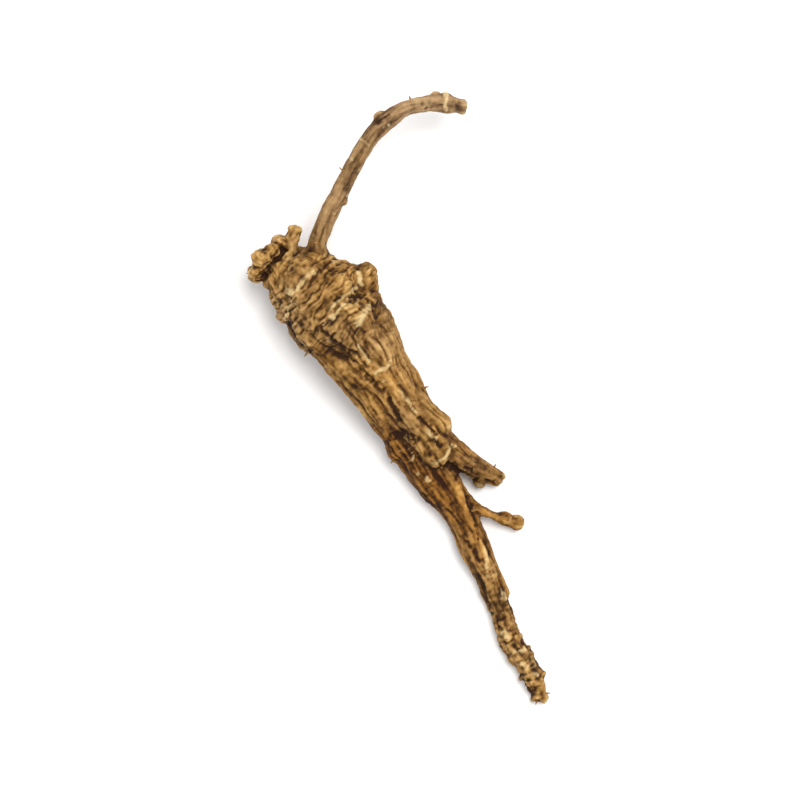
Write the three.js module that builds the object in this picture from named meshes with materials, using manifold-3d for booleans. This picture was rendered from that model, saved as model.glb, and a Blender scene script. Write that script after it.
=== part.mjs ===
// A dried ginseng root, lying on a flat surface as it was picked, cleaned and dried.
//
// It grew as one piece: a knobbly neck with its bud scars, a thick wrinkled head and body, a leg
// that starts high on the body and runs on as the tail, a broken side root, a fine rootlet and one
// long thin root that rises from the shoulder. So it is one solid.
//
// Millimetres, +Z up. The root lies on z = 0. Seen from above, the neck is at the upper left, the
// tail at the lower right, and the origin is the middle of its plan.

import * as THREE from "three";
import { mergeVertices } from "three/addons/utils/BufferGeometryUtils.js";
import Module from "manifold-3d";

// Driving dimensions.
const BODY_RADIUS = 5.75; // half the width of the head, the thickest place
const BODY_TALL = 0.95; // height of the head and body, as a share of their width
const LEG_RADIUS = 2.1; // half the width of the leg as it leaves the body
const STRAND_RADIUS = 1.3; // half the width of the strands fused along the leg and the body
const SIDE_RADIUS = 1.4; // half the width of the broken side root
const THREAD_RADIUS = 1.0; // half the width of the long thin root
const ROOTLET_RADIUS = 0.8; // half the width of the fine rootlet
const NECK_RADIUS = 3.1; // half the width of the rim of old bud scars
const NECK_THICK = 0.9; // thickness of that rim
const NECK_CORE = 2.5; // half the width of the stalk between that rim and the head
const NECK_CORE_TALL = 0.78; // height of the stalk, as a share of its width
const WRINKLE = 0.3; // how far the lengthwise wrinkles stand out on the body
const LUMP = 0.22; // height of the broad unevenness all over

const SKIN = { color: 0x98734a, roughness: 0.88, metalness: 0 };

const wasm = await Module();
wasm.setup();

// Each row of a limb's course is x, y, z and the half-width there as a share of the limb's radius.
const BODY = [
  [-14.3, 16.0, 5.3, 0.47],
  [-13.5, 15.35, 5.3, 0.6],
  [-11.5, 13.9, 5.3, 0.82],
  [-9.0, 11.65, 5.1, 0.98],
  [-6.4, 9.2, 5.1, 0.97],
  [-4.1, 6.7, 5.05, 0.77],
  [-2.1, 3.65, 4.95, 0.61],
  [0.15, 0.3, 4.9, 0.53],
  [2.1, -2.6, 4.95, 0.45],
  [3.7, -5.0, 4.95, 0.36],
  [4.5, -6.8, 4.7, 0.26],
];
const LEG = [
  [-10.4, 7.4, 7.3, 0.5],
  [-9.3, 6.5, 7.2, 0.68],
  [-7.6, 4.8, 6.8, 0.76],
  [-5.4, 2.5, 6.2, 0.84],
  [-3.3, 0.1, 5.4, 0.9],
  [-1.4, -2.2, 4.3, 0.96],
  [0.6, -4.8, 3.3, 1.02],
  [2.5, -7.4, 2.75, 1.08],
  [4.4, -9.9, 2.5, 1.07],
  [6.7, -12.6, 2.15, 0.91],
  [8.0, -15.0, 1.9, 0.88],
  [8.9, -17.6, 1.8, 0.88],
  [10.7, -21.2, 1.55, 0.76],
  [12.1, -24.8, 1.35, 0.63],
  [13.0, -27.4, 1.4, 0.69],
  [13.8, -29.6, 1.45, 0.71],
  [15.1, -31.4, 1.35, 0.62],
  [16.1, -33.4, 1.25, 0.54],
  [16.8, -35.6, 1.1, 0.44],
];
const STRAND = [
  [3.6, -5.6, 3.6, 0.77],
  [5.4, -8.6, 3.3, 1.06],
  [7.05, -11.5, 2.7, 1.0],
  [8.7, -14.6, 2.2, 0.92],
  [10.1, -18.0, 1.9, 0.81],
  [11.4, -21.0, 1.6, 0.73],
  [12.5, -23.2, 1.5, 0.65],
];
const RIDGE = [
  [-0.1, 2.4, 5.4, 0.92],
  [1.85, -0.15, 5.7, 1.1],
  [3.6, -1.95, 5.7, 1.15],
  [4.85, -3.0, 5.2, 1.06],
  [5.4, -4.0, 4.9, 0.7],
];
const SIDE_ROOT = [
  [3.4, -3.4, 4.6, 1.05],
  [5.1, -5.05, 4.4, 1.22],
  [6.7, -6.4, 3.9, 1.12],
  [8.3, -7.5, 3.2, 0.96],
  [9.9, -8.4, 2.4, 0.86],
  [11.3, -9.15, 1.6, 0.68],
  [12.2, -9.6, 1.05, 0.58],
];
const ROOTLET = [
  [7.4, -11.5, 2.5, 1.25],
  [9.2, -12.9, 2.3, 0.8],
  [10.6, -13.5, 2.0, 0.6],
  [11.7, -13.95, 1.7, 0.62],
  [12.6, -14.15, 1.5, 1.12],
  [13.3, -14.5, 1.35, 0.82],
  [14.1, -14.65, 1.2, 1.25],
  [14.8, -14.75, 1.1, 0.9],
];
const THREAD = [
  [-9.5, 16.2, 6.2, 1.5],
  [-9.7, 18.2, 6.8, 1.12],
  [-8.75, 20.8, 7.6, 1.02],
  [-7.6, 23.2, 8.2, 1.0],
  [-6.2, 25.8, 8.6, 0.98],
  [-5.05, 27.95, 8.7, 0.98],
  [-3.4, 30.75, 8.5, 0.95],
  [-1.8, 32.45, 8.3, 1.1],
  [-0.4, 33.6, 8.0, 0.95],
  [1.2, 34.45, 7.6, 0.85],
  [3.4, 34.95, 7.0, 0.9],
  [5.4, 34.95, 6.4, 1.05],
  [6.9, 34.75, 5.9, 0.9],
  [7.8, 34.65, 5.6, 0.95],
];

// The raised lip on the knuckle that ends the body, where another side root broke away.
const SCAR_LIP = [
  [2.7, -1.9, 7.0, 0.5],
  [3.6, -3.2, 7.1, 0.9],
  [4.9, -4.6, 6.6, 1.1],
  [5.6, -5.9, 6.0, 1.1],
  [5.2, -7.2, 5.5, 1.0],
  [3.9, -7.9, 4.9, 0.7],
];

// The neck: the middle of its rim, the way it points, and the old bud scars round the rim, each by
// its angle, how far out it stands and its radius. Angle 0 is towards the thin root and a quarter
// turn is straight up.
const NECK_AT = new THREE.Vector3(-15.55, 16.75, 5.4);
const NECK_AXIS = new THREE.Vector3(-0.78, 0.62, 0.05).normalize();
const BUD_SCARS = [
  [26, -0.15, 0.95],
  [64, 0.1, 0.85],
  [101, 0.5, 1.2],
  [137, 0.1, 0.9],
  [173, -0.25, 0.85],
  [208, -0.2, 0.95],
  [250, 0.0, 1.1],
  [292, -0.1, 1.0],
  [330, 0.0, 1.0],
];

// Swellings: x, y, z and radius.
const SWELLINGS = [
  [-4.6, 14.0, 5.9, 2.3], // the shoulder at the side of the head
  [-6.9, 13.2, 8.4, 1.9], // low warts on top of the head
  [-4.4, 9.6, 8.5, 1.65],
  [-11.5, 12.2, 8.75, 1.5],
  [-10.4, 7.4, 7.6, 1.35], // the knob that the leg starts from
  [-9.0, 5.2, 5.0, 1.0],
  [4.0, -5.6, 5.1, 2.1], // the knuckle
  [5.4, -2.6, 5.6, 0.95], // the step above the side root
  [0.2, -5.4, 3.3, 2.1], // the swelling of the leg under the body
  [9.2, -8.95, 2.1, 0.7], // knots under the side root
  [9.6, -9.8, 1.3, 0.85],
  [12.4, -23.0, 1.5, 0.9], // where the fused strand ends
  [12.6, -29.0, 1.1, 0.8], // the knobbly end of the tail
  [15.2, -30.6, 1.7, 0.95],
  [15.0, -33.0, 1.1, 0.8],
  [16.7, -33.9, 1.6, 0.8],
  [-2.2, 33.0, 8.5, 0.85], // the joints of the thin root
  [5.4, 35.05, 6.5, 1.08],
];

// Rootlets broken short: root end, tip, and the radius at each.
const STUBS = [
  [-12.9, 17.7, 6.4, -12.1, 20.45, 7.0, 0.85, 0.9], // the last bud on its stalk
  [15.6, -32.2, 1.3, 17.5, -32.8, 1.3, 0.62, 0.5],
  [16.4, -34.8, 1.1, 17.7, -35.9, 0.95, 0.75, 0.6],
  [16.3, -34.6, 1.0, 16.2, -36.2, 0.8, 0.65, 0.5],
  [14.9, -29.9, 1.4, 15.9, -29.6, 1.6, 0.6, 0.45],
  [-7.2, 23.5, 8.2, -6.1, 23.3, 8.3, 0.6, 0.45],
  [4.4, 35.0, 6.8, 4.3, 36.3, 6.9, 0.55, 0.42],
];

// Rings pressed in round a limb: distance along it, how far one side lags the other and towards
// which angle, width and depth. A depth below zero is a raised fold.
const BODY_RINGS = [
  { at: 2.9, tilt: 0.4, turn: 0.6, width: 0.6, depth: 0.5 },
  { at: 5.0, tilt: 0.8, turn: 1.4, width: 0.6, depth: -0.2 },
  { at: 6.2, tilt: 0.8, turn: 1.4, width: 0.6, depth: 0.55 },
  { at: 8.3, tilt: 1.6, turn: 1.57, width: 0.7, depth: -0.3 },
  { at: 9.6, tilt: 1.7, turn: 1.57, width: 0.6, depth: 1.0 },
  { at: 12.4, tilt: 1.0, turn: 0.7, width: 0.6, depth: 0.42 },
  { at: 15.6, tilt: 0.8, turn: 2.9, width: 0.6, depth: 0.3 },
  { at: 19.4, tilt: 0.6, turn: 4.1, width: 0.6, depth: 0.24 },
];
const LEG_RINGS = [
  { at: 13.5, tilt: 0.4, turn: 0.5, width: 0.5, depth: 0.16 },
  { at: 19.5, tilt: 0.5, turn: 2.4, width: 0.5, depth: 0.2 },
  { at: 24.0, tilt: 0.3, turn: 4.0, width: 0.5, depth: 0.14 },
  { at: 29.2, tilt: 0.4, turn: 1.1, width: 0.5, depth: 0.16 },
  { at: 34.5, tilt: 0.3, turn: 5.2, width: 0.45, depth: 0.16 },
  { at: 37.8, tilt: 0.3, turn: 3.3, width: 0.45, depth: 0.2 },
  { at: 40.6, tilt: 0.3, turn: 1.9, width: 0.45, depth: 0.22 },
  { at: 43.4, tilt: 0.3, turn: 0.3, width: 0.45, depth: 0.24 },
];
const THREAD_RINGS = [
  { at: 7.6, tilt: 0.1, turn: 0.5, width: 0.4, depth: 0.1 },
  { at: 11.2, tilt: 0.2, turn: 2.0, width: 0.4, depth: 0.12 },
  { at: 16.4, tilt: 0.1, turn: 3.5, width: 0.4, depth: 0.1 },
  { at: 20.4, tilt: 0.1, turn: 1.0, width: 0.4, depth: 0.12 },
  { at: 26.9, tilt: 0.1, turn: 5.0, width: 0.4, depth: 0.14 },
];

// A rounded ridge between two sharp creases: 1 on the ridge, -1 in the crease.
const crease = (turns) => 2 * Math.abs(Math.cos(0.5 * turns)) - 1;

// Broad unevenness of the whole surface, by place.
function lumps({ x, y, z }) {
  return (
    0.5 * Math.sin(1.15 * x + 0.7 * y + 0.5) * Math.sin(1.3 * z - 0.5 * x) +
    0.5 * Math.sin(0.9 * y - 1.25 * z + 2.1) * Math.sin(1.4 * x + 0.4 * y + 1.2)
  );
}

function ringDepth(rings, along, angle) {
  let pressed = 0;
  for (const { at, tilt, turn, width, depth } of rings) {
    const away = (along - at - tilt * Math.sin(angle - turn)) / width;
    pressed += depth * Math.exp(-away * away) * (0.75 + 0.25 * Math.cos(2 * angle + turn));
  }
  return pressed;
}

const smoothCurve = (points) => new THREE.CatmullRomCurve3(points, false, "catmullrom");

// A limb: a cylinder with flat ends whose points are moved onto its course and wrinkled. Each
// wrinkle follows a line of points, and the lines wander round the limb together. Crowding above 1
// brings the rows of points closer together at the start of the limb.
function limb(course, form) {
  const { radius, tall = 1, folds, perFold, steps, crowd = 1 } = form;
  const { wrinkle = 0, rings = [], seed } = form;
  const line = smoothCurve(course.map(([x, y, z]) => new THREE.Vector3(x, y, z)));
  const girth = smoothCurve(course.map(([, , , share]) => new THREE.Vector3(share * radius, 0, 0)));
  const length = line.getLength();
  const shape = new THREE.CylinderGeometry(1, 1, 1, folds * perFold, steps);
  const points = shape.attributes.position;
  const up = new THREE.Vector3(0, 0, 1);
  const local = new THREE.Vector3();
  for (let i = 0; i < points.count; i++) {
    local.fromBufferAttribute(points, i);
    const reach = Math.hypot(local.x, local.z);
    const t = THREE.MathUtils.clamp(local.y + 0.5, 0, 1) ** crowd;
    const along = t * length;
    const round = Math.atan2(local.z, local.x);
    const wander = 0.16 * Math.sin(0.3 * along + seed) + 0.05 * Math.sin(0.9 * along + 2 * seed);
    const angle = round + wander + 0.14 * Math.sin(2 * round + seed) + 0.06 * Math.sin(5 * round);
    const ahead = line.getTangent(t);
    const across = new THREE.Vector3().crossVectors(ahead, up).normalize();
    const above = new THREE.Vector3().crossVectors(across, ahead);
    const strength = 0.7 + 0.3 * Math.sin(0.4 * along + 4 * round + seed);
    let half = girth.getPoint(t).x;
    half += wrinkle * Math.min(1, half / radius) * strength * crease(folds * round);
    half -= ringDepth(rings, along, angle);
    const place = line.getPoint(t);
    const side = across.multiplyScalar(Math.cos(angle)).addScaledVector(above, tall * Math.sin(angle));
    const rough = LUMP * Math.min(1, half / 3) * lumps(place.clone().addScaledVector(side, half));
    place.addScaledVector(side, reach * (half + rough));
    points.setXYZ(i, place.x, place.y, place.z);
  }
  return shape;
}

// A rounded swelling, a little uneven.
function swelling([x, y, z, radius]) {
  const sides = radius < 0.9 ? 7 : 8;
  const shape = new THREE.SphereGeometry(radius, sides, sides - 2).rotateZ(x).translate(x, y, z);
  const points = shape.attributes.position;
  const p = new THREE.Vector3();
  for (let i = 0; i < points.count; i++) {
    p.fromBufferAttribute(points, i);
    const rough = 1 + 0.14 * Math.sin(2.6 * p.x + 1.9 * p.z) * Math.sin(2.9 * p.y - 1.3 * p.z);
    points.setXYZ(i, x + rough * (p.x - x), y + rough * (p.y - y), z + rough * (p.z - z));
  }
  return shape;
}

function stub([x0, y0, z0, x1, y1, z1, rootRadius, tipRadius]) {
  const from = new THREE.Vector3(x0, y0, z0);
  const course = new THREE.Vector3(x1, y1, z1).sub(from);
  const shape = new THREE.CylinderGeometry(tipRadius, rootRadius, course.length(), 9, 1);
  shape.translate(0, 0.5 * course.length(), 0);
  const turn = new THREE.Quaternion().setFromUnitVectors(
    new THREE.Vector3(0, 1, 0),
    course.normalize(),
  );
  return shape.applyQuaternion(turn).translate(x0, y0, z0);
}

// A closed geometry as a solid that can be joined and cut.
function solid(geometry) {
  const bare = geometry.clone();
  bare.deleteAttribute("normal");
  bare.deleteAttribute("uv");
  const merged = mergeVertices(bare, 1e-4);
  return new wasm.Manifold(
    new wasm.Mesh({
      numProp: 3,
      vertProperties: new Float32Array(merged.attributes.position.array),
      triVerts: new Uint32Array(merged.index.array),
    }),
  );
}

function geometryOf(shape) {
  const mesh = shape.getMesh();
  const geometry = new THREE.BufferGeometry();
  geometry.setAttribute("position", new THREE.BufferAttribute(mesh.vertProperties, 3));
  geometry.setIndex(new THREE.BufferAttribute(mesh.triVerts, 1));
  geometry.computeVertexNormals();
  return geometry;
}

function body() {
  return limb(BODY, {
    radius: BODY_RADIUS,
    tall: BODY_TALL,
    folds: 9,
    perFold: 5,
    steps: 40,
    crowd: 1.45,
    wrinkle: WRINKLE,
    rings: BODY_RINGS,
    seed: 1.3,
  });
}

function leg() {
  return limb(LEG, {
    radius: LEG_RADIUS,
    folds: 5,
    perFold: 4,
    steps: 42,
    wrinkle: 0.6 * WRINKLE,
    rings: LEG_RINGS,
    seed: 4.1,
  });
}

function strand() {
  return limb(STRAND, {
    radius: STRAND_RADIUS,
    folds: 3,
    perFold: 4,
    steps: 16,
    wrinkle: 0.35 * WRINKLE,
    seed: 0.4,
  });
}

function ridge() {
  return limb(RIDGE, {
    radius: STRAND_RADIUS,
    folds: 3,
    perFold: 4,
    steps: 10,
    wrinkle: 0.35 * WRINKLE,
    seed: 3.1,
  });
}

function sideRoot() {
  return limb(SIDE_ROOT, {
    radius: SIDE_RADIUS,
    folds: 4,
    perFold: 4,
    steps: 12,
    wrinkle: 0.5 * WRINKLE,
    seed: 2.7,
  });
}

function rootlet() {
  return limb(ROOTLET, {
    radius: ROOTLET_RADIUS,
    folds: 3,
    perFold: 3,
    steps: 16,
    wrinkle: 0.25 * WRINKLE,
    seed: 5.5,
  });
}

function thread() {
  return limb(THREAD, {
    radius: THREAD_RADIUS,
    folds: 3,
    perFold: 4,
    steps: 36,
    wrinkle: 0.35 * WRINKLE,
    rings: THREAD_RINGS,
    seed: 0.6,
  });
}

function scarLip() {
  return limb(SCAR_LIP, { radius: 0.5, folds: 2, perFold: 4, steps: 12, seed: 1.1 });
}

// Directions across the neck: towards the thin root, and upwards.
const NECK_ASIDE = new THREE.Vector3()
  .crossVectors(NECK_AXIS, new THREE.Vector3(0, 0, 1))
  .normalize();
const NECK_ABOVE = new THREE.Vector3().crossVectors(NECK_ASIDE, NECK_AXIS);

function neckPoint(out, reach, degrees) {
  const angle = THREE.MathUtils.degToRad(degrees);
  return NECK_AT.clone()
    .addScaledVector(NECK_AXIS, out)
    .addScaledVector(NECK_ASIDE, reach * Math.cos(angle))
    .addScaledVector(NECK_ABOVE, reach * Math.sin(angle));
}

// The neck: a short stalk on the head, and round its end a lumpy rim of old bud scars, where the
// stems broke off. A groove is left between the rim and the head.
function neck() {
  const rimCourse = [-0.5, -0.2, 0.2, 0.5].map((share, i) => {
    const { x, y, z } = neckPoint(share * NECK_THICK, 0, 0);
    return [x, y, z, [0.72, 0.88, 0.88, 0.72][i]];
  });
  const rim = limb(rimCourse, {
    radius: NECK_RADIUS,
    folds: 6,
    perFold: 4,
    steps: 4,
    wrinkle: 0.8 * WRINKLE,
    seed: 3.9,
  });
  const stalkCourse = [-2.2, -1.1, 0].map((out) => {
    const { x, y, z } = neckPoint(out, 0, 0);
    return [x, y, z, 1];
  });
  const stalk = limb(stalkCourse, {
    radius: NECK_CORE,
    tall: NECK_CORE_TALL,
    folds: 3,
    perFold: 4,
    steps: 2,
    seed: 2.2,
  });
  const scars = BUD_SCARS.map(([degrees, out, radius]) => {
    const { x, y, z } = neckPoint(out, NECK_RADIUS - 0.45, degrees);
    return swelling([x, y, z, radius]);
  });
  return [stalk, rim, ...scars];
}

// The hollow left in the middle of the neck by the last stem.
function stemScar() {
  const { x, y, z } = neckPoint(0.5 * NECK_THICK + 0.75, 0, 0);
  return new THREE.SphereGeometry(1.6, 12, 8).translate(x, y, z);
}

function ginsengRoot() {
  const grown = [
    body(),
    leg(),
    strand(),
    ridge(),
    sideRoot(),
    rootlet(),
    thread(),
    scarLip(),
    ...neck(),
    ...SWELLINGS.map(swelling),
    ...STUBS.map(stub),
  ];
  const fused = grown.map(solid).reduce((whole, piece) => whole.add(piece));
  const surface = new THREE.BoxGeometry(200, 200, 10).translate(0, 0, -5);
  const rested = fused.subtract(solid(stemScar())).subtract(solid(surface));
  const { min, max } = rested.boundingBox();
  const centred = rested.translate([-0.5 * (min[0] + max[0]), -0.5 * (min[1] + max[1]), 0]);
  const mesh = new THREE.Mesh(geometryOf(centred), new THREE.MeshStandardMaterial(SKIN));
  mesh.name = "ginseng_root";
  return mesh;
}

const root = new THREE.Group();
root.add(ginsengRoot());

export default root;
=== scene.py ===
import math

import bmesh
import bpy
import numpy as np
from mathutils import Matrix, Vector


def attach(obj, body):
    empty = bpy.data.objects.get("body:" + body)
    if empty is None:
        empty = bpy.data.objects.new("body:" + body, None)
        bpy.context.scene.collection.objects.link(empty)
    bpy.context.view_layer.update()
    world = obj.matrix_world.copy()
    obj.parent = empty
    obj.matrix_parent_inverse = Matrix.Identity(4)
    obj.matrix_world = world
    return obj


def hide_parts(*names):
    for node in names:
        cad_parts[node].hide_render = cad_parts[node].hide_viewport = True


# A dried ginseng root, seen from straight above. Lengths in the root's own sections are in
# millimetres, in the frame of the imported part, and each mesh is brought to metres at its end.
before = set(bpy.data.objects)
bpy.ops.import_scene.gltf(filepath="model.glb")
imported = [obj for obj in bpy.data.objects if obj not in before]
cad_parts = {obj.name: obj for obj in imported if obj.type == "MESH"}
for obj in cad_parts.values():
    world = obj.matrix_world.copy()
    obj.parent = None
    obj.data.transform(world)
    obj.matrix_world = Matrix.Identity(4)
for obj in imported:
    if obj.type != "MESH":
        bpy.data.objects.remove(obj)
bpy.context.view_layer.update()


# The camera looks straight down, with the neck at the upper left, as in the photograph. It stands
# off and uses a long lens, so that the root is drawn almost without perspective.
LENS_MM = 135.0
SENSOR_MM = 36.0
FIELD_M = 0.096
camera = bpy.data.cameras.new("camera")
camera.lens = LENS_MM
camera.sensor_width = SENSOR_MM
camera.clip_start = 0.02
camera_object = bpy.data.objects.new("camera", camera)
camera_object.location = (0.0, 0.0, FIELD_M * LENS_MM / SENSOR_MM)
bpy.context.scene.collection.objects.link(camera_object)
bpy.context.scene.camera = camera_object
bpy.context.scene.view_settings.view_transform = "Standard"


# The light is a studio's: one large soft lamp high on the upper right, a second, weaker one from
# the lower left, and a bright room all round. The shadows are faint and fall to the lower left.
def lamp(name, place, size, watts, colour):
    light = bpy.data.lights.new(name, "AREA")
    light.shape = "DISK"
    light.size = size
    light.energy = watts
    light.color = colour
    made = bpy.data.objects.new(name, light)
    made.location = place
    made.rotation_euler = (-Vector(place)).to_track_quat("-Z", "Y").to_euler()
    bpy.context.scene.collection.objects.link(made)


lamp("key_softbox", (0.15, 0.16, 0.58), 0.40, 3.9, (1.0, 0.985, 0.96))
lamp("fill_softbox", (-0.30, -0.14, 0.50), 0.40, 0.5, (0.96, 0.98, 1.0))

room = bpy.data.worlds.new("room")
room.use_nodes = True
room.node_tree.nodes["Background"].inputs["Color"].default_value = (0.97, 0.98, 1.0, 1.0)
room.node_tree.nodes["Background"].inputs["Strength"].default_value = 0.62
bpy.context.scene.world = room


# Colours are written as they look on a screen and turned to the linear values that nodes use.
def paint(hexadecimal):
    channels = [int(hexadecimal[i : i + 2], 16) / 255 for i in (1, 3, 5)]
    linear = [c / 12.92 if c <= 0.04045 else ((c + 0.055) / 1.055) ** 2.4 for c in channels]
    return (*linear, 1.0)


# One node of a material, with its settings, its colour stops if it has any, and its inputs, each
# a value or a link. An input is given by its name, or by its number where two share a name.
def node(tree, kind, inputs=None, stops=(), **settings):
    made = tree.nodes.new(kind)
    for name, value in settings.items():
        setattr(made, name, value)
    for name, value in (inputs or {}).items():
        if isinstance(value, bpy.types.NodeSocket):
            tree.links.new(value, made.inputs[name])
        else:
            made.inputs[name].default_value = value
    for i, (place, colour) in enumerate(stops):
        elements = made.color_ramp.elements
        element = elements[i] if i < len(elements) else elements.new(place)
        element.position = place
        element.color = paint(colour)
    return made


# The floor is a sheet of matt white board, laid flat and wider than the view. Its mottle is very
# faint, 60 spots to the sheet's width or 27 mm each, so that the eye takes it as even white.
BOARD_M = 1.6
MOTTLES_ACROSS = 60.0
board_white = bpy.data.materials.new("matt_white_board")
board_white.use_nodes = True
tree = board_white.node_tree
mottle = node(tree, "ShaderNodeTexNoise", {"Scale": MOTTLES_ACROSS, "Detail": 3.0})
whites = [(0.3, "#f4f3f2"), (0.7, "#f8f7f6")]
shade = node(tree, "ShaderNodeValToRGB", {"Fac": mottle.outputs["Fac"]}, whites)
shader = tree.nodes["Principled BSDF"]
tree.links.new(shade.outputs["Color"], shader.inputs["Base Color"])
shader.inputs["Roughness"].default_value = 0.8
shader.inputs["Specular IOR Level"].default_value = 0.2

board_mesh = bpy.data.meshes.new("board")
board_shape = bmesh.new()
bmesh.ops.create_grid(board_shape, x_segments=2, y_segments=2, size=BOARD_M / 2)
board_shape.to_mesh(board_mesh)
board_shape.free()
board_mesh.materials.append(board_white)
board = bpy.data.objects.new("board", board_mesh)
bpy.context.scene.collection.objects.link(board)


# The root is one plant: neck, head, body, leg, tail and side roots are a single fleshy growth.
# As it dried the flesh shrank inside the skin. The skin gathered into lengthwise wrinkles on the
# body and legs and into rings and cracks round the head, and old rootlets left pale raised scars.
MM_PER_M = 1000

# The part's solid was centred on its plan once its limbs were joined, which moved every place on
# it by this much.
SHIFT = np.array([-0.12, -0.002, 0.0])

# Courses of the limbs, as x, y, z and half-width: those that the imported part's limbs were grown
# along, and one down the middle of the neck.
COURSES = {
    "body": [
        (-14.3, 16.0, 5.3, 2.7), (-13.5, 15.35, 5.3, 3.45), (-11.5, 13.9, 5.3, 4.7),
        (-9.0, 11.65, 5.1, 5.65), (-6.4, 9.2, 5.1, 5.6), (-4.1, 6.7, 5.05, 4.4),
        (-2.1, 3.65, 4.95, 3.5), (0.15, 0.3, 4.9, 3.05), (2.1, -2.6, 4.95, 2.6),
        (3.7, -5.0, 4.95, 2.1), (4.5, -6.8, 4.7, 1.5),
    ],
    "leg": [
        (-10.4, 7.4, 7.3, 1.05), (-9.3, 6.5, 7.2, 1.43), (-7.6, 4.8, 6.8, 1.6),
        (-5.4, 2.5, 6.2, 1.76), (-3.3, 0.1, 5.4, 1.9), (-1.4, -2.2, 4.3, 2.0),
        (0.6, -4.8, 3.3, 2.15), (2.5, -7.4, 2.75, 2.27), (4.4, -9.9, 2.5, 2.25),
        (6.7, -12.6, 2.15, 1.91), (8.0, -15.0, 1.9, 1.85), (8.9, -17.6, 1.8, 1.85),
        (10.7, -21.2, 1.55, 1.6), (12.1, -24.8, 1.35, 1.32), (13.0, -27.4, 1.4, 1.45),
        (13.8, -29.6, 1.45, 1.5), (15.1, -31.4, 1.35, 1.3), (16.1, -33.4, 1.25, 1.13),
        (16.8, -35.6, 1.1, 0.92),
    ],
    "strand": [
        (3.6, -5.6, 3.6, 1.0), (5.4, -8.6, 3.3, 1.38), (7.05, -11.5, 2.7, 1.3),
        (8.7, -14.6, 2.2, 1.2), (10.1, -18.0, 1.9, 1.05), (11.4, -21.0, 1.6, 0.95),
        (12.5, -23.2, 1.5, 0.85),
    ],
    "ridge": [
        (-0.1, 2.4, 5.4, 1.2), (1.85, -0.15, 5.7, 1.43), (3.6, -1.95, 5.7, 1.5),
        (4.85, -3.0, 5.2, 1.38), (5.4, -4.0, 4.9, 0.9),
    ],
    "side_root": [
        (3.4, -3.4, 4.6, 1.47), (5.1, -5.05, 4.4, 1.7), (6.7, -6.4, 3.9, 1.57),
        (8.3, -7.5, 3.2, 1.35), (9.9, -8.4, 2.4, 1.2), (11.3, -9.15, 1.6, 0.95),
        (12.2, -9.6, 1.05, 0.8),
    ],
    "rootlet": [
        (7.4, -11.5, 2.5, 1.0), (9.2, -12.9, 2.3, 0.64), (10.6, -13.5, 2.0, 0.5),
        (11.7, -13.95, 1.7, 0.5), (12.6, -14.15, 1.5, 0.9), (13.3, -14.5, 1.35, 0.7),
        (14.1, -14.65, 1.2, 1.0), (14.8, -14.75, 1.1, 0.75),
    ],
    "thread": [
        (-9.5, 16.2, 6.2, 1.5), (-9.7, 18.2, 6.8, 1.12), (-8.75, 20.8, 7.6, 1.02),
        (-7.6, 23.2, 8.2, 1.0), (-6.2, 25.8, 8.6, 0.98), (-5.05, 27.95, 8.7, 0.98),
        (-3.4, 30.75, 8.5, 0.95), (-1.8, 32.45, 8.3, 1.1), (-0.4, 33.6, 8.0, 0.95),
        (1.2, 34.45, 7.6, 0.85), (3.4, 34.95, 7.0, 0.9), (5.4, 34.95, 6.4, 1.05),
        (6.9, 34.75, 5.9, 0.9), (7.8, 34.65, 5.6, 0.95),
    ],
    "neck": [
        (-17.2, 18.0, 5.5, 3.0), (-16.2, 17.2, 5.4, 3.4), (-14.9, 16.2, 5.4, 3.0),
    ],
}

# How each limb's skin is wrinkled: depth and spacing of the lengthwise wrinkles, depth and spacing
# of the rings, height of the roughness, and how strongly light and dark streaks run along it.
SKINS = {
    "body": (0.22, 1.5, 0.17, 1.05, 0.07, 0.12),
    "leg": (0.19, 1.1, 0.14, 1.2, 0.10, 0.38),
    "strand": (0.15, 1.0, 0.12, 1.2, 0.07, 0.35),
    "ridge": (0.14, 0.9, 0.08, 1.3, 0.05, 0.1),
    "side_root": (0.14, 0.9, 0.10, 1.2, 0.07, 0.15),
    "rootlet": (0.08, 0.6, 0.16, 0.8, 0.12, 0.5),
    "thread": (0.09, 0.8, 0.10, 1.4, 0.05, 0.35),
    "neck": (0.10, 0.7, 0.08, 1.0, 0.22, 0.3),
}

# How the colour changes along each limb: the distance from its start, then how much lighter or
# darker the skin is there, how orange, and how grey.
TINTS = {
    "body": [
        (0, -0.01, 0.1, 0.1), (8, -0.04, 0.1, 0.1), (12, -0.15, 0.1, 0.1), (15, 0.06, 0.1, 0.1),
        (18, 0.05, 0.1, 0.0), (25, -0.05, 0.3, 0.0),
    ],
    # On the leg from 15 to 26 mm, below the knuckle, the darker skin is partly its own deep
    # reddish brown and partly painted shade, where that stretch lies in the body's shadow.
    "leg": [
        (0, -0.06, 0.2, 0.0), (11, -0.06, 0.3, 0.0), (15, -0.20, 0.8, 0.0),
        (20, -0.21, 1.0, 0.0), (26, -0.21, 0.9, 0.0), (33, -0.11, 0.5, 0.0),
        (39, -0.23, 0.1, 0.0), (44, -0.14, 0.0, 0.0), (52, -0.14, 0.0, 0.0),
    ],
    "strand": [(0, -0.14, 0.9, 0.0), (5, -0.06, 0.6, 0.0), (18, -0.04, 0.3, 0.0)],
    "ridge": [(0, 0.0, 0.1, 0.0)],
    "side_root": [(0, -0.23, 0.5, 0.0), (11, -0.21, 0.2, 0.0)],
    "rootlet": [(0, -0.16, 0.7, 0.0), (8, -0.16, 0.4, 0.0)],
    "thread": [(0, -0.09, 0.0, 0.3), (28, -0.16, 0.0, 0.6)],
    "neck": [(0, -0.08, 0.1, 0.0)],
}


# The lowest 32 bits of a whole number.
BITS = 0xFFFFFFFF


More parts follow.
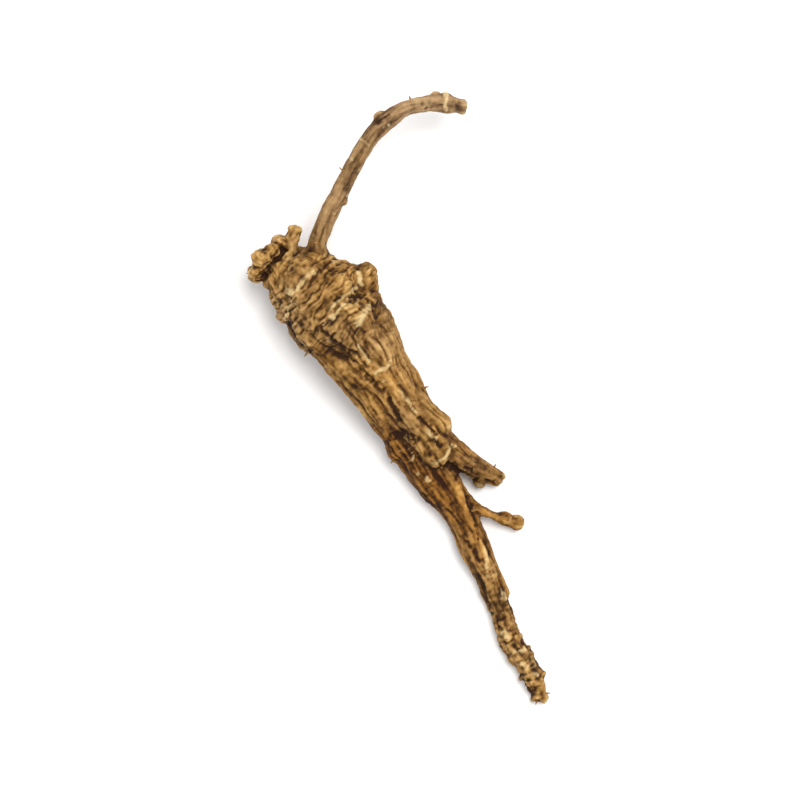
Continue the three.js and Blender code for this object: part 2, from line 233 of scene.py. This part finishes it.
def noise(points, seed):
    """Smooth random values from about -1 to 1, one for each point. Points divided by a length in
    millimetres give waves of about that length."""
    cell = np.floor(points).astype(np.int64)
    part = points - cell
    ease = part**3 * (part * (part * 6 - 15) + 10)
    total = np.zeros(len(points))
    # Each corner of a cell gets a slope of its own, picked by scrambling its place and the seed.
    for corner in np.ndindex(2, 2, 2):
        corner = np.array(corner)
        x, y, z = (cell + corner).T
        mixed = (x * 374761393 + y * 668265263 + z * 1440662683 + seed * 974634777) & BITS
        mixed = ((mixed ^ (mixed >> 13)) * 1274126177) & BITS
        mixed ^= mixed >> 16
        slope = np.stack([(mixed >> shift & 1023) / 511.5 - 1 for shift in (0, 10, 20)], 1)
        weight = np.prod(np.where(corner == 1, ease, 1 - ease), axis=1)
        total += weight * np.sum(slope * (part - corner), axis=1)
    return 1.5 * total


def valleys(values, width):
    """Narrow valleys where the values pass through zero: -1 at the bottom, 0 away from them."""
    return -np.exp(-((values / width) ** 2))


SAME_POINT_M = 2e-6
FACE_MM = 0.17


def close_mesh(source):
    """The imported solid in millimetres, its surface remade in small even faces."""
    shape = bmesh.new()
    shape.from_mesh(source.data)
    bmesh.ops.remove_doubles(shape, verts=shape.verts, dist=SAME_POINT_M)
    bmesh.ops.scale(shape, vec=(MM_PER_M, MM_PER_M, MM_PER_M), verts=shape.verts)
    mesh = bpy.data.meshes.new("root_shape")
    shape.to_mesh(mesh)
    shape.free()
    holder = bpy.data.objects.new("root_shape", mesh)
    bpy.context.scene.collection.objects.link(holder)
    remesh = holder.modifiers.new("even_faces", "REMESH")
    remesh.mode = "VOXEL"
    remesh.voxel_size = FACE_MM
    evaluated = holder.evaluated_get(bpy.context.evaluated_depsgraph_get())
    made = bpy.data.meshes.new_from_object(evaluated)
    bpy.data.objects.remove(holder)
    bpy.data.meshes.remove(mesh)
    return made


def read(collection, field, width, kind=np.float64):
    """One field of a mesh's points, edges or normals, as an array with a row for each."""
    values = np.empty(len(collection) * width, dtype=kind)
    collection.foreach_get(field, values)
    return values.reshape(-1, width)


def averaged(values, edges, times, share=0.5):
    """Values moved towards the mean of their neighbours, several times over."""
    count = np.bincount(edges.ravel(), minlength=len(values))[:, None]
    for _ in range(times):
        total = np.empty_like(values)
        for k in range(values.shape[1]):
            total[:, k] = np.bincount(edges[:, 0], values[edges[:, 1], k], len(values))
            total[:, k] += np.bincount(edges[:, 1], values[edges[:, 0], k], len(values))
        values = values + share * (total / count - values)
    return values


def normals_of(mesh, points):
    """The direction straight out of the mesh at each point, once its points stand there."""
    mesh.vertices.foreach_set("co", points.ravel())
    mesh.update()
    return read(mesh.vertex_normals, "vector", 3)


STEPS_PER_ROW = 12
ROUNDING_PASSES = 20
POINTS_AT_ONCE = 20000


def along_limb(points, course):
    """Distance along a limb, direction round it, its half-width there, and how far out each point
    is, counted in half-widths."""
    rows = np.array(course) + np.append(SHIFT, 0.0)
    places = np.linspace(0, len(rows) - 1, STEPS_PER_ROW * len(rows))
    fine = np.stack([np.interp(places, np.arange(len(rows)), rows[:, k]) for k in range(4)], 1)
    for _ in range(ROUNDING_PASSES):
        fine[1:-1] = 0.25 * fine[:-2] + 0.5 * fine[1:-1] + 0.25 * fine[2:]
    steps = np.linalg.norm(np.diff(fine[:, :3], axis=0), axis=1)
    far = np.append(0.0, np.cumsum(steps))
    ahead = np.gradient(fine[:, :3], axis=0)
    ahead /= np.linalg.norm(ahead, axis=1, keepdims=True)
    aside = np.cross(ahead, [0.0, 0.0, 1.0])
    aside /= np.linalg.norm(aside, axis=1, keepdims=True)
    above = np.cross(aside, ahead)
    nearest = np.empty(len(points), dtype=int)
    for start in range(0, len(points), POINTS_AT_ONCE):
        part = points[start : start + POINTS_AT_ONCE, None, :] - fine[None, :, :3]
        reach = np.linalg.norm(part, axis=2) / fine[None, :, 3] ** 0.5
        nearest[start : start + POINTS_AT_ONCE] = reach.argmin(1)
    out = points - fine[nearest, :3]
    lead = np.sum(out * ahead[nearest], 1)
    x = np.sum(out * aside[nearest], 1)
    y = np.sum(out * above[nearest], 1)
    half = fine[nearest, 3]
    return far[nearest] + lead, np.arctan2(y, x), half, np.linalg.norm(out, axis=1) / half


STROKE_REACH = 2


def stroke(points, upward, path, width, seed):
    """1 on a line drawn on the upper side of the root, ragged at its edge and broken in places."""
    rows = np.array(path) + SHIFT[:2]
    plan = points[:, :2]
    in_box = (plan > rows.min(0) - STROKE_REACH) & (plan < rows.max(0) + STROKE_REACH)
    near = in_box.all(axis=1) & (upward > 0)
    some = points[near]
    # Waves 0.8 mm and 0.35 mm long carry the line aside by up to 0.22 mm and 0.10 mm.
    ragged = 0.22 * np.stack([noise(some / 0.8, seed), noise(some / 0.8, seed + 1)], 1)
    ragged += 0.10 * np.stack([noise(some / 0.35, seed), noise(some / 0.35, seed + 1)], 1)
    place = some[:, :2] + ragged
    best = np.full(len(some), 1e9)
    for start, end in zip(rows[:-1], rows[1:]):
        course = end - start
        share = np.clip((place - start) @ course / (course @ course), 0, 1)
        best = np.minimum(best, np.linalg.norm(place - start - share[:, None] * course, axis=1))
    inside = np.clip(1.25 - best / (0.6 * width), 0, 1)
    inside = inside**2 * (3 - 2 * inside)
    whole = np.clip(0.85 + 0.9 * noise(some / 0.6, seed + 2), 0.15, 1)
    mark = np.zeros(len(points))
    mark[near] = inside * whole * np.clip(3 * upward[near], 0, 1)
    return mark


# Pale raised scars that show on the upper side: the line of each, and its width.
SCARS = [
    ([(-10.0, 15.0), (-11.2, 14.0), (-11.8, 12.8)], 0.49),
    ([(-12.8, 12.7), (-12.5, 12.5)], 0.81),
    ([(-12.6, 11.6), (-13.4, 9.6)], 0.31),
    ([(-4.8, 15.0), (-4.4, 13.6)], 0.54),
    ([(-5.0, 13.1), (-6.6, 12.0), (-8.0, 10.6)], 0.31),
    ([(-6.3, 11.1), (-7.2, 10.2), (-7.8, 9.6)], 0.54),
    ([(-7.8, 9.6), (-8.8, 8.8)], 0.27),
    ([(-3.6, 10.8), (-4.4, 9.6), (-4.8, 8.8)], 0.81),
    ([(-1.2, 4.0), (-2.8, 3.2)], 0.45),
    ([(-4.8, 6.4), (-3.6, 4.6)], 0.27),
    ([(0.0, 1.2), (2.0, -1.6)], 0.27),
    ([(3.2, -3.6), (4.4, -4.6)], 0.45),
    ([(6.0, -5.6), (5.4, -6.8), (4.2, -7.6)], 0.4),
    ([(10.2, -17.5), (10.5, -20.0)], 0.31),
    ([(12.3, -22.8), (12.6, -23.6)], 0.63),
    ([(12.5, -27.8), (12.8, -28.2)], 0.63),
    ([(13.8, -30.0), (15.0, -29.8)], 0.45),
    ([(14.6, -31.4), (14.9, -31.6)], 0.54),
    ([(16.2, -32.6), (16.6, -32.8)], 0.54),
    ([(5.5, 36.2), (5.4, 34.2)], 0.45),
    ([(-6.2, 23.9), (-5.6, 24.0)], 0.36),
]

# Cracks and folds on the upper side, sunk into the relief and darkened with painted shade: the
# line of each, its width, and its depth.
CRACKS = [
    ([(-13.0, 10.4), (-12.8, 9.2), (-13.0, 8.2)], 0.7, 0.15),
    ([(-12.6, 7.7), (-11.8, 6.8), (-10.6, 5.9)], 0.7, 0.15),
    ([(-9.6, 8.2), (-8.0, 9.4), (-6.8, 10.6), (-5.6, 11.8), (-4.0, 12.4)], 0.5, 0.12),
    ([(-5.3, 15.5), (-5.1, 15.2)], 0.6, 0.1),
    ([(-3.8, 12.0), (-2.8, 11.1)], 0.5, 0.1),
    ([(-9.4, 8.7), (-8.0, 7.2), (-6.0, 5.6), (-4.4, 3.8), (-3.6, 2.6)], 0.4, 0.08),
    ([(-3.6, 2.8), (-2.0, 1.2)], 0.9, 0.2),
    ([(-1.2, 0.0), (-0.4, -1.2), (0.0, -2.4)], 0.7, 0.2),
    ([(-0.9, -4.5), (0.0, -3.8), (0.8, -4.0), (2.0, -4.8)], 0.9, 0.2),
    ([(3.1, -6.3), (3.3, -6.5)], 0.8, 0.12),
    ([(4.7, -5.1), (5.0, -5.4)], 0.7, 0.12),
    ([(6.4, -7.6), (7.2, -8.8)], 0.8, 0.15),
    ([(2.4, -2.0), (4.4, -4.0)], 0.5, 0.15),
    ([(-13.5, 17.8), (-14.6, 16.7), (-15.6, 15.4), (-16.5, 14.2)], 0.9, 0.25),
    ([(8.0, -8.0), (8.6, -8.4)], 0.5, 0.2),
    ([(8.9, -9.5), (9.3, -9.3)], 0.5, 0.2),
    ([(10.3, -9.5), (11.2, -9.9)], 0.6, 0.3),
    ([(5.6, -8.0), (6.8, -9.8)], 0.7, 0.1),
    ([(8.1, -16.8), (8.8, -18.0), (9.5, -19.2)], 0.5, 0.15),
    ([(3.2, -12.4), (4.6, -14.6)], 0.5, 0.1),
    ([(-5.0, 5.6), (-3.6, 3.8)], 0.35, 0.1),
    ([(8.2, -11.5), (8.9, -14.0), (9.6, -16.5)], 0.4, 0.12),
    ([(-2.4, 32.4), (-1.2, 33.2)], 0.6, 0.05),
    ([(16.0, -34.2), (15.4, -35.4)], 0.9, 0.1),
]

# Lighter lines on the upper side: some are ridges where the brown outer skin is rubbed through to
# yellow flesh, and the long lines down the leg and the strand are painted highlights where light
# catches their right side. The line of each, its width, and how much lighter it is.
RUBBED_AND_HIGHLIT = [
    ([(-1.3, 2.9), (-0.4, 1.8)], 1.0, 0.2),
    ([(-12.4, 14.4), (-11.8, 14.0)], 1.1, 0.15),
    ([(1.8, -8.2), (2.6, -9.4)], 0.6, 0.25),
    ([(7.0, -10.0), (7.6, -12.4), (8.3, -14.0), (9.3, -16.0)], 0.8, 0.42),
    ([(9.3, -16.0), (9.9, -18.0), (10.8, -20.4), (11.9, -22.0)], 0.7, 0.36),
    ([(12.4, -22.6), (13.0, -26.0), (13.6, -27.2), (14.4, -29.0)], 0.5, 0.25),
    ([(4.4, -10.8), (5.5, -13.0), (6.4, -14.6)], 0.5, 0.28),
    ([(1.6, -7.0), (3.0, -9.6)], 0.4, 0.3),
    ([(3.2, -12.8), (5.2, -15.4), (7.4, -17.4)], 0.4, 0.25),
    ([(6.6, -4.8), (8.6, -6.3), (10.6, -7.9), (11.8, -8.9)], 0.6, 0.2),
    ([(-0.4, 0.8), (0.8, -1.2), (1.8, -2.4)], 0.45, 0.2),
    ([(9.9, -13.2), (11.4, -13.7)], 0.4, 0.2),
]

# Where the root was broken or cut, and how far the bare flesh reaches from there.
BROKEN = [
    (12.5, -9.8, 1.0, 0.9),
    (7.95, 34.65, 5.6, 0.5),
    (-12.0, 20.6, 7.0, 0.4),
    (17.8, -36.0, 0.9, 0.6),
    (16.2, -36.4, 0.8, 0.5),
    (9.6, -10.1, 1.6, 0.45),
    (-17.6, 18.5, 5.5, 1.2),
]

# Remeshing leaves small steps. Smoothing takes them away but thins the root a little, and a few
# passes the other way give part of that back.
SMOOTHING_PASSES = 9
RESTORING_PASSES = 3
RESTORING_SHARE = -0.25
root_mesh = close_mesh(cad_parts["ginseng_root"])
edges = read(root_mesh.edges, "vertices", 2, np.int32)
points = read(root_mesh.vertices, "co", 3)
points = averaged(points, edges, SMOOTHING_PASSES)
points = averaged(points, edges, RESTORING_PASSES, RESTORING_SHARE)

# How far a point belongs to each limb. Limbs blend over a small share of their half-width, and
# settled is 1 well inside one limb and 0 where two meet, so that patterns can fade out there.
JOIN_BLEND = 0.06
limbs = {name: along_limb(points, course) for name, course in COURSES.items()}
reach = np.stack([limbs[name][3] for name in COURSES], 1)
belongs = np.exp(-(reach - reach.min(1, keepdims=True)) / JOIN_BLEND)
belongs /= belongs.sum(1, keepdims=True)
settled = np.clip(2 * belongs.max(1) - 1, 0, 1) ** 2

# The head of the body and the tail of the leg are ringed, and elsewhere the skin is wrinkled
# lengthwise. Places are distances along the limb in millimetres.
HEAD_MIDDLE = 6.0
HEAD_REACH = 6.5
TAIL_START = 38.0
TAIL_FADE = 5.0
GRAIN_STRETCH = 8
relief = np.zeros(len(points))
ringed = np.zeros(len(points))
stripes = np.zeros(len(points))
tints = np.zeros((len(points), 3))
grain = np.zeros((len(points), 3))
for k, name in enumerate(COURSES):
    along, angle, half, _ = limbs[name]
    wrinkle, wide, ring, apart, rough, streaked = SKINS[name]
    bend = 0.5 * noise(points / 3.0, 40 + k)
    turned = angle + 0.35 * bend / np.maximum(half, 1.0) ** 0.5
    circle = np.stack([half * np.cos(turned), half * np.sin(turned)], 1)
    lengthwise = np.column_stack([circle / wide, along / (5 * wide)])
    fine = np.column_stack([circle / (0.5 * wide), along / (2.6 * wide)])
    crosswise = np.column_stack([circle / (1.6 * apart), along / apart])
    bent = along + 1.0 * noise(points / 4.0, 50 + k) + 0.35 * noise(points / 1.2, 55 + k)
    head = tail = np.zeros(len(points))
    if name == "body":
        head = np.exp(-((along - HEAD_MIDDLE) / HEAD_REACH) ** 4)
    if name == "leg":
        tail = np.clip((along - TAIL_START) / TAIL_FADE, 0, 1)

    height = wrinkle * (1 - 0.7 * head - 0.4 * tail) * valleys(noise(lengthwise, 3 + k), 0.25)
    height += 0.5 * wrinkle * (1 - 0.5 * head) * valleys(noise(fine, 13 + k), 0.3)

    # Rings, each open in places, with short folds between them, and then the roughness.
    broken = np.clip(0.55 + 1.7 * noise(crosswise, 33 + k), 0, 1)
    rings = valleys(np.sin(math.pi * bent / apart), 0.5) * broken
    rings += 0.6 * valleys(noise(np.column_stack([circle / 1.8, bent / 0.7]), 23 + k), 0.3)
    height += ring * (0.3 + 0.7 * head + 0.9 * tail) * rings
    height += rough * (1 + 0.5 * head + 1.3 * tail) * noise(points / 0.9, 71)
    height += 0.6 * rough * (1 + 0.7 * head + 0.5 * tail) * noise(points / 0.45, 72)

    # A thin limb takes less of the relief than a thick one.
    share = belongs[:, k]
    relief += share * height * np.minimum(1.0, 0.4 + half / 2.5)
    ringed += share * np.clip(0.3 + head + tail, 0, 1)
    stripes += share * streaked * noise(np.column_stack([circle / 0.8, along / 5.0]), 63 + k)
    rows = np.array(TINTS[name])
    here = [np.interp(along, rows[:, 0], rows[:, i]) for i in (1, 2, 3)]
    tints += share[:, None] * np.stack(here, 1)
    grain += share[:, None] * np.column_stack([circle, along / GRAIN_STRETCH])

# The marks listed above. Scars stand up by 0.1 mm.
upward = normals_of(root_mesh, points)[:, 2]
scar = np.zeros(len(points))
for i, (path, width) in enumerate(SCARS):
    scar = np.maximum(scar, stroke(points, upward, path, width, 80 + 3 * i))
# Cracks are cut into the relief, and the same mask darkens the tone as painted shade.
painted_crack_shade = np.zeros(len(points))
for i, (path, width, depth) in enumerate(CRACKS):
    mark = stroke(points, upward, path, width, 150 + 3 * i)
    relief -= depth * mark
    painted_crack_shade = np.maximum(painted_crack_shade, mark)
rubbed_and_highlit = np.zeros(len(points))
paler_rubbed_and_highlit = np.zeros(len(points))
# A mask of the rubbed ridges and painted highlights, and how much each place is lightened.
for i, (path, width, lighter) in enumerate(RUBBED_AND_HIGHLIT):
    mark = stroke(points, upward, path, width, 190 + 3 * i)
    rubbed_and_highlit = np.maximum(rubbed_and_highlit, mark)
    paler_rubbed_and_highlit = np.maximum(paler_rubbed_and_highlit, lighter * mark)
relief += 0.1 * scar
scar *= np.clip(0.9 + 0.6 * noise(points / 0.5, 205), 0, 1)

# Smaller scars all over, 1.3 mm round the limb and 0.6 mm along it, and none where limbs meet.
length_place = GRAIN_STRETCH * grain[:, 2]
scatter = noise(np.column_stack([grain[:, :2] / 1.3, length_place / 0.6]), 201)
small_scar = np.clip((scatter - 0.52) / 0.2, 0, 1)
small_scar *= np.clip(0.4 + 1.5 * noise(points / 4, 202), 0, 1)
small_scar *= settled
relief += 0.06 * small_scar
scar = np.maximum(scar, 0.75 * small_scar)

# Small uneven pits where single rootlets once stood, most of them on the head and the tail. Each
# is 0.1 mm deep in a rim 0.05 mm high, whose radius lies between these two.
PITS = 60
RIM_RADIUS_MM = (0.35, 0.8)
draw = np.random.default_rng(7)
uneven = 1 + 0.5 * noise(points / 0.6, 241)
for spot in draw.choice(len(points), PITS, replace=False, p=ringed**2 / np.sum(ringed**2)):
    size = draw.uniform(*RIM_RADIUS_MM)
    away = np.sum((points - points[spot]) ** 2, axis=1) + (length_place - length_place[spot]) ** 2
    away = np.sqrt(away) * uneven / size
    rim = np.exp(-(((away - 1) / 0.4) ** 2))
    pit = np.exp(-((away / 0.6) ** 2))
    relief += 0.05 * rim - 0.1 * pit
    scar = np.maximum(scar, draw.uniform(0.0, 0.25) * rim)

# The bare flesh at the broken ends is torn and a little sunken.
bare = np.zeros(len(points))
for x, y, z, size in BROKEN:
    away = np.linalg.norm(points - np.array([x, y, z]) - SHIFT, axis=1)
    bare = np.maximum(bare, np.clip(1.6 - 1.2 * away / size, 0, 1))
relief += bare * (0.16 * noise(points / 0.35, 211) + 0.2 * noise(points / 0.8, 212) - 0.05)
relief -= np.mean(relief)

# The relief is carried out along the smoothed normals. What rests on the board keeps its height.
NORMAL_PASSES = 4
RESTING_MM = 0.12
normals = normals_of(root_mesh, averaged(points, edges, NORMAL_PASSES))
skin = points + relief[:, None] * normals
height = np.where(points[:, 2] < RESTING_MM, points[:, 2], skin[:, 2])
skin[:, 2] = np.maximum(height, 0.0)

# The relief is painted into the colour: hollows are dark with painted shade and ridges light with
# painted light, and in the fine creases the dark is partly the skin's own deeper brown. The tone
# goes from light to dark over these depths, for the fine wrinkles and for the broad folds, and its
# middle is 0.5 before the limbs' own tints.
FINE_PASSES = 6
FINE_DARK_MM = 0.29
BROAD_PASSES = 60
BROAD_DARK_MM = 1.1
BROAD_LIMIT_MM = 0.6
fine_hollow = np.sum((averaged(skin, edges, FINE_PASSES) - skin) * normals, 1)
broad_hollow = np.sum((averaged(skin, edges, BROAD_PASSES) - skin) * normals, 1)
tone = -fine_hollow / FINE_DARK_MM
tone -= np.clip(broad_hollow, -BROAD_LIMIT_MM, BROAD_LIMIT_MM) / BROAD_DARK_MM
tone += 0.12 * noise(points / 2.2, 221) + 0.1 * noise(points / 0.8, 222)
# Cracks are darkened further as painted shade, and the rubbed ridges and painted highlights are
# lightened.
tone += 0.5 - np.median(tone) + tints[:, 0] + stripes - 0.26 * painted_crack_shade + paler_rubbed_and_highlit

# What the material reads at each point. A scar is dimmed where the skin lies in a dark fold, along
# with the painted shade there.
fields = {
    "tone": np.clip(tone, 0, 1),
    "scar": scar * np.clip(tone / 0.35, 0, 1),
    "bare": bare,
    # Rubbed ridges and the painted highlights on the leg and strand are warmer too.
    "warmth": np.clip(tints[:, 1] + 0.3 * noise(points / 4.0, 231) + 0.3 * rubbed_and_highlit, 0, 1),
    "greyness": np.clip(tints[:, 2] + 0.2 * noise(points / 6.0, 232), 0, 1),
    "ringed": ringed,
    "settled": settled,
    "grain_x": grain[:, 0],
    "grain_y": grain[:, 1],
    "grain_z": grain[:, 2],
}
for name, values in fields.items():
    layer = root_mesh.attributes.new(name, "FLOAT", "POINT")
    layer.data.foreach_set("value", values.astype(np.float32))
root_mesh.vertices.foreach_set("co", (skin / MM_PER_M).ravel())
root_mesh.update()
root_mesh.polygons.foreach_set("use_smooth", [True] * len(root_mesh.polygons))

# Dried root skin: yellowish brown and matt, straw-coloured on the ridges and scars, and almost
# black in the creases, partly its own deeper brown and partly painted shade. Its fibres run
# lengthwise and show as fine streaks.
# Real fibres and specks are under 0.1 mm, too fine for the render, so they are drawn coarser:
# streaks 0.3 mm wide and 2.5 mm long, and specks 0.5 mm across. The blotches are 2.4 mm across.
FIBRE_MM = 0.3125
SPECKS_PER_CM = 21
BLOTCHES_PER_CM = 4.2
GRAIN_DEPTH_M = 0.00012
root_skin = bpy.data.materials.new("dried_root_skin")
root_skin.use_nodes = True
tree = root_skin.node_tree
field = {}
for name in fields:
    field[name] = node(tree, "ShaderNodeAttribute", attribute_name=name).outputs["Fac"]
grain_axes = {"X": field["grain_x"], "Y": field["grain_y"], "Z": field["grain_z"]}
fibre_place = node(tree, "ShaderNodeCombineXYZ", grain_axes).outputs["Vector"]
place = node(tree, "ShaderNodeTexCoord").outputs["Object"]
drawn = {"Vector": fibre_place, "Scale": 1 / FIBRE_MM, "Detail": 5.0}
drawn |= {"Roughness": 0.62, "Distortion": 0.4}
fibres = node(tree, "ShaderNodeTexNoise", drawn).outputs["Fac"]
drawn = {"Vector": place, "Scale": 100.0 * SPECKS_PER_CM, "Detail": 4.0, "Roughness": 0.6}
specks = node(tree, "ShaderNodeTexNoise", drawn).outputs["Fac"]
drawn = {"Vector": place, "Scale": 100.0 * BLOTCHES_PER_CM, "Detail": 3.0}
blotches = node(tree, "ShaderNodeTexNoise", drawn).outputs["Fac"]

# Where the skin is ringed the same grain is drawn out round the limb instead: folds 1.9 mm long
# and 0.6 mm apart.
across = {0: fibre_place, 1: (0.35, 0.35, 9.0)}
across_place = node(tree, "ShaderNodeVectorMath", across, operation="MULTIPLY").outputs["Vector"]
drawn = {"Vector": across_place, "Scale": 1.5, "Detail": 4.0}
drawn |= {"Roughness": 0.6, "Distortion": 0.8}
rings = node(tree, "ShaderNodeTexNoise", drawn).outputs["Fac"]
ring_share = node(tree, "ShaderNodeMath", {0: field["ringed"], 1: 0.85}, operation="MULTIPLY")
sides = {0: ring_share.outputs["Value"], 2: fibres, 3: rings}
streaks = node(tree, "ShaderNodeMix", sides, data_type="FLOAT").outputs[0]
sides = {0: field["settled"], 2: blotches, 3: streaks}
streaks = node(tree, "ShaderNodeMix", sides, data_type="FLOAT").outputs[0]

# Each pattern lightens and darkens the tone, and the tone, with its painted shade and light, picks
# the colour of the skin.
shade = field["tone"]
for pattern, strength in ((streaks, 0.6), (specks, 0.32), (blotches, 0.35)):
    centred = node(tree, "ShaderNodeMath", {0: pattern, 1: 0.5}, operation="SUBTRACT")
    terms = {0: centred.outputs["Value"], 1: strength, 2: shade}
    shade = node(tree, "ShaderNodeMath", terms, operation="MULTIPLY_ADD").outputs["Value"]
skin_stops = [
    (0.0, "#2c1706"),
    (0.15, "#472d0d"),
    (0.32, "#694819"),
    (0.52, "#8f6a36"),
    (0.72, "#a88047"),
    (0.88, "#bb9459"),
    (1.0, "#caa76e"),
]
colour = node(tree, "ShaderNodeValToRGB", {"Fac": shade}, skin_stops).outputs["Color"]
flesh_stops = [(0.3, "#94703f"), (0.5, "#bb9c69"), (0.7, "#d8c498")]
flesh = node(tree, "ShaderNodeValToRGB", {"Fac": fibres}, flesh_stops).outputs["Color"]

# Over the skin's colour lie warm orange, grey, pale scars and bare flesh, each where its field is.
layers = [
    ("warmth", 1.0, "MULTIPLY", paint("#e6cf98")),
    ("greyness", 0.3, "SATURATION", paint("#808080")),
    ("scar", 0.72, "MIX", paint("#d6be8a")),
    ("bare", 0.8, "MIX", flesh),
]
for name, strength, blend, second in layers:
    share = node(tree, "ShaderNodeMath", {0: field[name], 1: strength}, operation="MULTIPLY")
    sides = {0: share.outputs["Value"], 6: colour, 7: second}
    colour = node(tree, "ShaderNodeMix", sides, data_type="RGBA", blend_type=blend).outputs[2]

height = node(tree, "ShaderNodeMath", {0: streaks, 1: 0.8, 2: specks}, operation="MULTIPLY_ADD")
grain_bump = {"Height": height.outputs["Value"], "Strength": 0.8, "Distance": GRAIN_DEPTH_M}
bump = node(tree, "ShaderNodeBump", grain_bump)
dull = node(tree, "ShaderNodeValToRGB", {"Fac": shade}, [(0.0, "#f4f4f4"), (1.0, "#c4c4c4")])
shader = tree.nodes["Principled BSDF"]
tree.links.new(colour, shader.inputs["Base Color"])
tree.links.new(dull.outputs["Color"], shader.inputs["Roughness"])
tree.links.new(bump.outputs["Normal"], shader.inputs["Normal"])
shader.inputs["Specular IOR Level"].default_value = 0.2

root_mesh.materials.clear()
root_mesh.materials.append(root_skin)
root = bpy.data.objects.new("dried_root", root_mesh)
bpy.context.scene.collection.objects.link(root)
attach(root, "root")
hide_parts("ginseng_root")


# Fine rootlets once grew from the skin. Nearly all broke off when the root was dug and cleaned,
# and short brittle ends are left, dry and wiry, mostly on the tail, the neck and the thin strands.
# Each is where it stands, how long it is, and the way it points, in degrees from +X.
ROOTLETS = [
    (14.2, -30.2, 2.2, 1.5, 200), (15.8, -33.8, 2.0, 1.1, 150), (17.0, -35.0, 1.4, 0.8, -40),
    (16.4, -35.8, 1.3, 0.7, -100), (13.0, -27.0, 1.9, 0.9, 30), (10.8, -20.8, 2.4, 0.9, 190),
    (8.6, -13.2, 2.9, 1.0, 20), (-6.0, 26.6, 8.9, 0.8, 160), (1.4, 35.0, 7.9, 0.6, 80),
    (-9.6, 18.6, 7.2, 0.7, 170), (-17.6, 15.4, 5.6, 0.7, 230), (-0.6, -6.4, 3.4, 0.9, 220),
    (-10.8, 5.6, 5.0, 0.8, 215), (3.2, 1.6, 5.4, 0.6, 40), (11.4, -7.8, 2.0, 0.5, 60),
]
STEPS = 8
SIDES = 7
TIP_MM = 0.06
THICKER_FOOT_MM = 0.13
SUNK_MM = 0.15
LOWEST_MM = 0.02
WANDER = 0.22
rootlet_shape = bmesh.new()
draw = np.random.default_rng(11)
for x, y, z, length, heading in ROOTLETS:
    # It sets off between its heading and straight out of the skin, and wanders as it goes.
    foot = np.linalg.norm(skin - np.array([x, y, z]) - SHIFT, axis=1).argmin()
    turn = math.radians(heading)
    way = Vector((math.cos(turn), math.sin(turn), 0.1)) + 0.9 * Vector(normals[foot])
    spot = Vector(skin[foot]) - SUNK_MM * Vector(normals[foot])
    rings = []
    for i in range(STEPS + 1):
        share = i / STEPS
        radius = TIP_MM + THICKER_FOOT_MM * (1 - share) ** 1.5
        radius *= draw.uniform(0.85, 1.15)
        side = way.cross(Vector((0, 0, 1))).normalized()
        over = side.cross(way).normalized()
        rings.append([])
        for k in range(SIDES):
            round_it = 2 * math.pi * k / SIDES
            out = math.cos(round_it) * side + math.sin(round_it) * over
            place = spot + out * radius * draw.uniform(0.85, 1.15)
            place.z = max(place.z, LOWEST_MM)
            rings[-1].append(rootlet_shape.verts.new(place / MM_PER_M))
        spot = spot + way.normalized() * length / STEPS
        way = way + WANDER * Vector(draw.uniform(-1, 1, 3))
    for near, far in zip(rings, rings[1:]):
        for k in range(SIDES):
            rootlet_shape.faces.new((near[k], near[k - 1], far[k - 1], far[k]))
    rootlet_shape.faces.new(rings[0][::-1])
    rootlet_shape.faces.new(rings[-1])
bmesh.ops.recalc_face_normals(rootlet_shape, faces=rootlet_shape.faces)
rootlet_mesh = bpy.data.meshes.new("broken_rootlets")
rootlet_shape.to_mesh(rootlet_mesh)
rootlet_shape.free()
rootlet_mesh.polygons.foreach_set("use_smooth", [True] * len(rootlet_mesh.polygons))

# Dry rootlet: root skin with almost no flesh in it, matt and patchy brown, so that the ends read
# as thin twigs. The real mottle is finer than the render shows: it is drawn 0.5 mm across.
MOTTLES_PER_CM = 19
dry_rootlet = bpy.data.materials.new("dry_rootlet")
dry_rootlet.use_nodes = True
tree = dry_rootlet.node_tree
place = node(tree, "ShaderNodeTexCoord").outputs["Object"]
drawn = {"Vector": place, "Scale": 100.0 * MOTTLES_PER_CM, "Detail": 4.0, "Roughness": 0.6}
mottle = node(tree, "ShaderNodeTexNoise", drawn).outputs["Fac"]
stops = [(0.3, "#5a3a18"), (0.5, "#86602f"), (0.7, "#b18c58")]
colour = node(tree, "ShaderNodeValToRGB", {"Fac": mottle}, stops).outputs["Color"]
bump = node(tree, "ShaderNodeBump", {"Height": mottle, "Strength": 0.6, "Distance": 0.00005})
shader = tree.nodes["Principled BSDF"]
tree.links.new(colour, shader.inputs["Base Color"])
tree.links.new(bump.outputs["Normal"], shader.inputs["Normal"])
shader.inputs["Roughness"].default_value = 0.85
shader.inputs["Specular IOR Level"].default_value = 0.25

rootlet_mesh.materials.append(dry_rootlet)
rootlets = bpy.data.objects.new("broken_rootlets", rootlet_mesh)
bpy.context.scene.collection.objects.link(rootlets)
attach(rootlets, "root")
